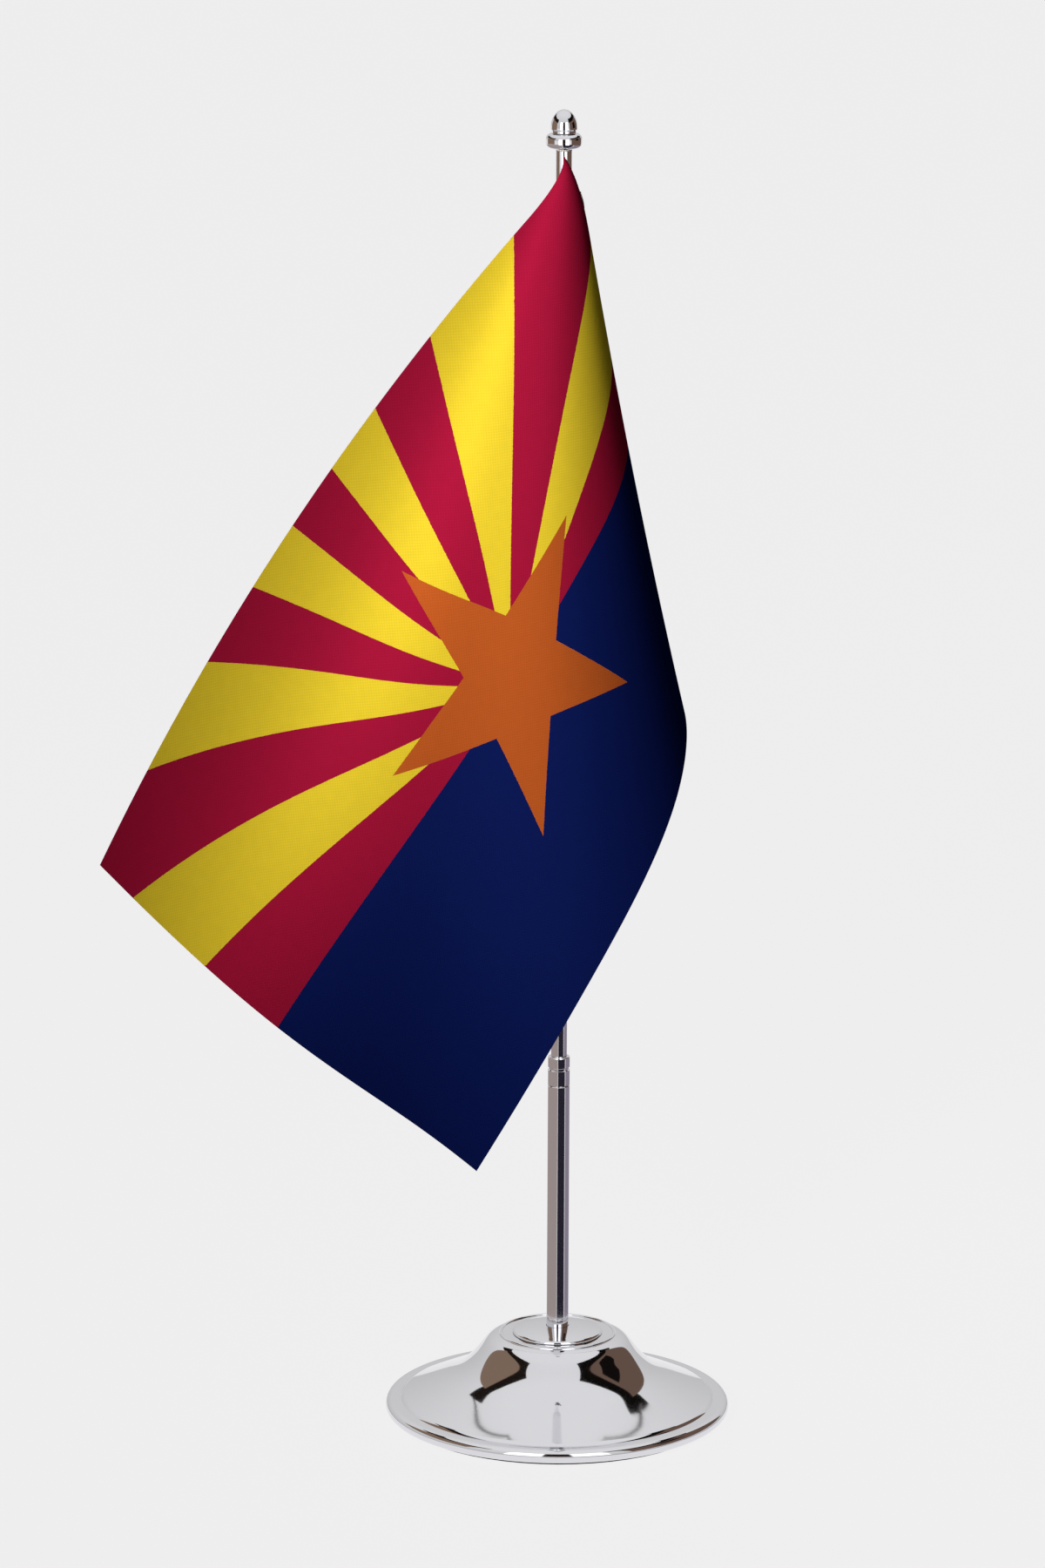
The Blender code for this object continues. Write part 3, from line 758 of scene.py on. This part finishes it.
class FLAGSTAND_OT_flag(bpy.types.Operator):
    """Model the printed satin panel and the white sleeve sewn along its hoist"""

    bl_idname = "flagstand.flag"
    bl_label = "Flag"

    def execute(self, context):
        flag = context.scene.flag_stand.flag
        bpy.ops.object.select_all(action="DESELECT")
        bpy.ops.mesh.primitive_grid_add(x_subdivisions=210, y_subdivisions=140, size=1.0, calc_uvs=True)
        panel = start_piece("flag_cloth")
        panel.data.uv_layers[0].name = "flat_cloth"
        for vertex in panel.data.vertices:
            share = (vertex.co.x + 0.5) ** HOIST_CROWDING
            vertex.co = cloth_point(share * flag.length, (0.5 - vertex.co.y) * flag.width)
        for place in panel.data.uv_layers["flat_cloth"].uv:
            place.vector = (place.vector.x**HOIST_CROWDING, place.vector.y)
        thicken = panel.modifiers.new("cloth_thickness", "SOLIDIFY")
        thicken.thickness = flag.thickness
        thicken.offset = 0.0
        bpy.ops.object.modifier_apply(modifier=thicken.name)
        finish_piece(panel, printed_satin(flag), "flag", ["flag_panel"], smooth=50.0)
        # The chrome doesn't mirror the panel, so the bell shows no patch of the flag's colours.
        panel.visible_glossy = False

        # Sleeve: two tabs either side of the panel, and a loop round the pole between them.
        tab = SLEEVE_TAB
        low = low_of("hoist_sleeve")
        high = high_of("hoist_sleeve")
        bpy.ops.object.select_all(action="DESELECT")
        bpy.ops.mesh.primitive_grid_add(x_subdivisions=48, y_subdivisions=130, size=1.0, calc_uvs=True)
        sleeve = start_piece("hoist_sleeve_cloth")
        sleeve.data.uv_layers[0].name = "flat_cloth"
        middle_radius = SLEEVE_RADIUS - 0.2 * MM
        loop = math.tau * middle_radius
        around = 2 * tab + loop
        for vertex in sleeve.data.vertices:
            path = (vertex.co.x + 0.5) * around
            height = low + (vertex.co.y + 0.5) * (high - low)
            down = FLAG_TOP - height
            if path < tab or path > tab + loop:
                side = 1.0 if path < tab else -1.0
                reach = tab - path if path < tab else path - tab - loop
                reach = max(reach, 0.0)
                point = cloth_point(reach, down)
                run = cloth_point(reach + NORMAL_STEP, down) - point
                fall = cloth_point(reach, down + NORMAL_STEP) - point
                vertex.co = point + run.cross(fall).normalized() * SEAM_GAP * side
            else:
                turn = math.radians(HOIST_BEARING) - math.tau * (path - tab) / loop
                vertex.co = (middle_radius * math.cos(turn), middle_radius * math.sin(turn), height)
        for place in sleeve.data.uv_layers["flat_cloth"].uv:
            place.vector = (place.vector.x * around, place.vector.y * (high - low))
        thicken = sleeve.modifiers.new("cloth_thickness", "SOLIDIFY")
        thicken.thickness = flag.thickness
        thicken.offset = 0.0
        bpy.ops.object.modifier_apply(modifier=thicken.name)
        finish_piece(sleeve, sleeve_satin(flag), "flag", ["hoist_sleeve"], smooth=50.0)
        return {"FINISHED"}


# ---- Hidden fittings ----


class FLAGSTAND_OT_fittings(bpy.types.Operator):
    """Give the CAD pieces that stay their finished materials"""

    bl_idname = "flagstand.fittings"
    bl_label = "Fittings"

    def execute(self, context):
        zinc = zinc_plate()
        brass = turned_brass()
        finishes = {
            "base_weight": cast_iron(),
            "foot_pad": wool_felt(),
            "finial_washer": moulded("natural_nylon", "#dcd9cf", 0.45),
            "sleeve_stop_ring": moulded("black_nitrile_rubber", "#161616", 0.7),
        }
        for node in ("base_plate", "clamp_screw", "flat_washer", "lock_washer", "finial_stud"):
            finishes[node] = zinc
        for node in ("lower_tube_insert", "upper_tube_plug", "friction_bush", "top_insert"):
            finishes[node] = brass
        for node, finish in finishes.items():
            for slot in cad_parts[node].material_slots:
                slot.material = finish
        return {"FINISHED"}


# ---- Stage ----

# The camera looks down by CAMERA_PITCH degrees. The lens is in mm on a sensor 36 mm high.
CAMERA_PLACE = (-9.3 * MM, -1.5, 0.5075)
CAMERA_PITCH = 12.98
CAMERA_ROLL = 0.24
CAMERA_LENS = 144.2


class FLAGSTAND_OT_stage(bpy.types.Operator):
    """Set up the pale floor, the soft light, the reflector cards and the camera"""

    bl_idname = "flagstand.stage"
    bl_label = "Stage"

    def execute(self, context):
        scene = context.scene
        stage = scene.flag_stand.stage
        scene.view_settings.view_transform = "Standard"

        bpy.ops.object.select_all(action="DESELECT")
        bpy.ops.mesh.primitive_plane_add(size=40.0, location=(0.0, 0.0, -0.1 * MM))
        floor = start_piece("floor")
        paper, _, shader = new_material("lit_acrylic_sheet", "#3a3a3a", 0.0, 0.9)
        shader.inputs["Specular IOR Level"].default_value = 0.0
        shader.inputs["Emission Color"].default_value = linear(stage.floor_hex)
        shader.inputs["Emission Strength"].default_value = stage.floor_glow
        floor.data.materials.append(paper)
        # The glow shows in the picture and in the chrome, and adds nothing to the light on the cloth.
        floor.visible_diffuse = False

        self.add_world(scene, stage)
        self.add_cards()

        # The key falls off towards the flag's right edge. The back light is for the cloth's far side.
        lights = (
            # name, power, place, aim, angle of the cone, size
            ("soft_key", stage.key_power, (-0.325, -1.0, 0.514), (0.175, -0.02, 0.245), 35.0, 0.12),
            ("back_fill", stage.back_power, (-0.25, 1.1, 0.6), (-0.03, 0.0, 0.2), 60.0, 0.3),
        )
        for name, power, place, aim, cone, size in lights:
            light = bpy.data.lights.new(name, "SPOT")
            light.energy = power
            light.spot_size = math.radians(cone)
            light.spot_blend = 1.0
            light.shadow_soft_size = size
            lamp = bpy.data.objects.new(name, light)
            lamp.location = place
            lamp.rotation_euler = (Vector(aim) - lamp.location).to_track_quat("-Z", "Y").to_euler()
            lamp.visible_glossy = False
            scene.collection.objects.link(lamp)

        lens = bpy.data.cameras.new("camera")
        lens.sensor_fit = "VERTICAL"
        lens.sensor_height = 36.0
        lens.lens = CAMERA_LENS
        lens.clip_start = 0.05
        camera = bpy.data.objects.new("camera", lens)
        camera.location = CAMERA_PLACE
        camera.rotation_mode = "QUATERNION"
        tilt = Quaternion((1.0, 0.0, 0.0), math.radians(90.0 - CAMERA_PITCH))
        roll = Quaternion((0.0, 0.0, 1.0), math.radians(CAMERA_ROLL))
        camera.rotation_quaternion = tilt @ roll
        scene.collection.objects.link(camera)
        scene.camera = camera
        return {"FINISHED"}

    def add_world(self, scene, stage):
        """Light from all round: weak on matt surfaces, and a bright tent in the chrome."""
        world = bpy.data.worlds.new("light_tent")
        scene.world = world
        world.use_nodes = True
        tree = world.node_tree
        background = tree.nodes["Background"]
        path = tree.nodes.new("ShaderNodeLightPath")
        direction = tree.nodes.new("ShaderNodeTexCoord").outputs["Generated"]
        split = tree.nodes.new("ShaderNodeSeparateXYZ")
        tree.links.new(direction, split.inputs["Vector"])
        # The tent's roof is brighter than its walls.
        tent = add_node(
            tree,
            "ShaderNodeMapRange",
            {"Value": split.outputs["Z"], "From Min": -0.1, "From Max": 0.9, "To Min": 0.55, "To Max": 0.85},
        )
        strength = add_node(
            tree,
            "ShaderNodeMix",
            {"Factor": path.outputs["Is Glossy Ray"], "A": stage.fill, "B": tent},
            data_type="FLOAT",
        )
        strength = add_node(
            tree,
            "ShaderNodeMix",
            {"Factor": path.outputs["Is Camera Ray"], "A": strength, "B": 0.86},
            data_type="FLOAT",
        )
        tree.links.new(strength, background.inputs["Strength"])
        background.inputs["Color"].default_value = (1.0, 1.0, 1.0, 1.0)

    def add_cards(self):
        """Curved cards that only the chrome sees: dark side walls, front light boxes and floor mats."""
        cards = (
            # name, first and last bearing from the front, distance and height of the lower edge, then
            # of the upper edge, how much higher the last bearing is, colour, strength
            ("right_wall", 48.0, 136.0, 0.5, 0.08, 0.5, 0.55, 0.0, "#6a564b", 1.0),
            ("right_wall_top", 42.0, 108.0, 0.502, 0.54, 0.502, 0.79, -0.06, "#0f0c0b", 1.0),
            ("right_wall_end", 108.0, 146.0, 0.502, 0.52, 0.502, 0.73, -0.06, "#0f0c0b", 1.0),
            ("right_door", 78.0, 104.0, 0.48, 0.31, 0.48, 0.47, 0.0, "#120e0d", 1.0),
            ("right_arch", 144.0, 158.0, 0.5, 0.5, 0.5, 0.53, 0.4, "#5a5453", 1.0),
            ("right_crown", 158.0, 180.0, 0.5, 0.9, 0.5, 0.92, 0.12, "#8a8686", 1.0),
            ("left_wall", -124.0, -62.0, 0.5, 0.19, 0.5, 0.51, 0.0, "#86705f", 1.0),
            ("left_wall_top", -56.0, -106.0, 0.502, 0.505, 0.502, 0.675, -0.02, "#1d1613", 1.0),
            ("left_wall_end", -106.0, -143.0, 0.502, 0.485, 0.502, 0.655, -0.05, "#1d1613", 1.0),
            ("left_arch", -143.0, -158.0, 0.5, 0.48, 0.5, 0.51, 0.42, "#5a5453", 1.0),
            ("left_crown", -158.0, -180.0, 0.5, 0.9, 0.5, 0.92, 0.12, "#8a8686", 1.0),
            ("right_box", 10.0, 34.0, 0.5, 0.08, 0.5, 0.58, 0.0, "#ffffff", 1.8),
            ("left_box", -34.0, -10.0, 0.5, 0.08, 0.5, 0.58, 0.0, "#ffffff", 1.8),
            ("box_gap", -9.0, 9.0, 0.5, 0.08, 0.5, 0.58, 0.0, "#2a1d1b", 1.0),
            # These lie on the floor, and the pole mirrors them.
            ("front_mat", -8.0, 66.0, 0.08, 0.0005, 1.1, 0.0005, 0.0, "#26232f", 1.0),
            ("left_mat", -150.0, -12.0, 0.08, 0.0005, 1.1, 0.0005, 0.0, "#a59894", 1.0),
            ("right_mat", 72.0, 150.0, 0.08, 0.0005, 1.1, 0.0005, 0.0, "#8f8593", 1.0),
        )
        for name, first, last, near, low, far, high, rise, colour, strength in cards:
            bpy.ops.object.select_all(action="DESELECT")
            bpy.ops.mesh.primitive_grid_add(x_subdivisions=12, y_subdivisions=2, size=1.0)
            card = start_piece(name)
            for vertex in card.data.vertices:
                across = vertex.co.x + 0.5
                upward = vertex.co.y + 0.5
                bearing = math.radians(first + (last - first) * across)
                distance = near + (far - near) * upward
                height = low + (high - low) * upward + rise * across
                vertex.co = (distance * math.sin(bearing), -distance * math.cos(bearing), height)
            paint = bpy.data.materials.new(name)
            paint.use_nodes = True
            tree = paint.node_tree
            tree.nodes.remove(tree.nodes["Principled BSDF"])
            glow = add_node(tree, "ShaderNodeEmission", {"Color": linear(colour), "Strength": strength})
            tree.links.new(glow, tree.nodes["Material Output"].inputs["Surface"])
            card.data.materials.append(paint)
            card.visible_camera = False
            card.visible_diffuse = False
            card.visible_shadow = False
            card.visible_transmission = False


# ---- Add-on ----


class FLAGSTAND_PT_panel(bpy.types.Panel):
    """Lists the modelling steps and their settings"""

    bl_idname = "FLAGSTAND_PT_panel"
    bl_label = "Flag Stand"
    bl_space_type = "VIEW_3D"
    bl_region_type = "UI"
    bl_category = "Flag Stand"

    def draw(self, context):
        layout = self.layout
        settings = context.scene.flag_stand
        for step in STEPS:
            layout.operator(step.bl_idname)
        for group in (settings.metal, settings.flag, settings.stage):
            box = layout.box()
            for name in group.__annotations__:
                box.prop(group, name)


STEPS = (
    FLAGSTAND_OT_base,
    FLAGSTAND_OT_pole,
    FLAGSTAND_OT_finial,
    FLAGSTAND_OT_flag,
    FLAGSTAND_OT_fittings,
    FLAGSTAND_OT_stage,
)
CLASSES = (MetalSettings, FlagSettings, StageSettings, FlagStandSettings, *STEPS, FLAGSTAND_PT_panel)


def register():
    for kind in CLASSES:
        bpy.utils.register_class(kind)
    bpy.types.Scene.flag_stand = bpy.props.PointerProperty(type=FlagStandSettings)


def unregister():
    del bpy.types.Scene.flag_stand
    for kind in reversed(CLASSES):
        bpy.utils.unregister_class(kind)


def main():
    register()
    bpy.ops.flagstand.base()
    bpy.ops.flagstand.pole()
    bpy.ops.flagstand.finial()
    bpy.ops.flagstand.flag()
    bpy.ops.flagstand.fittings()
    bpy.ops.flagstand.stage()


if __name__ == "__main__":
    main()
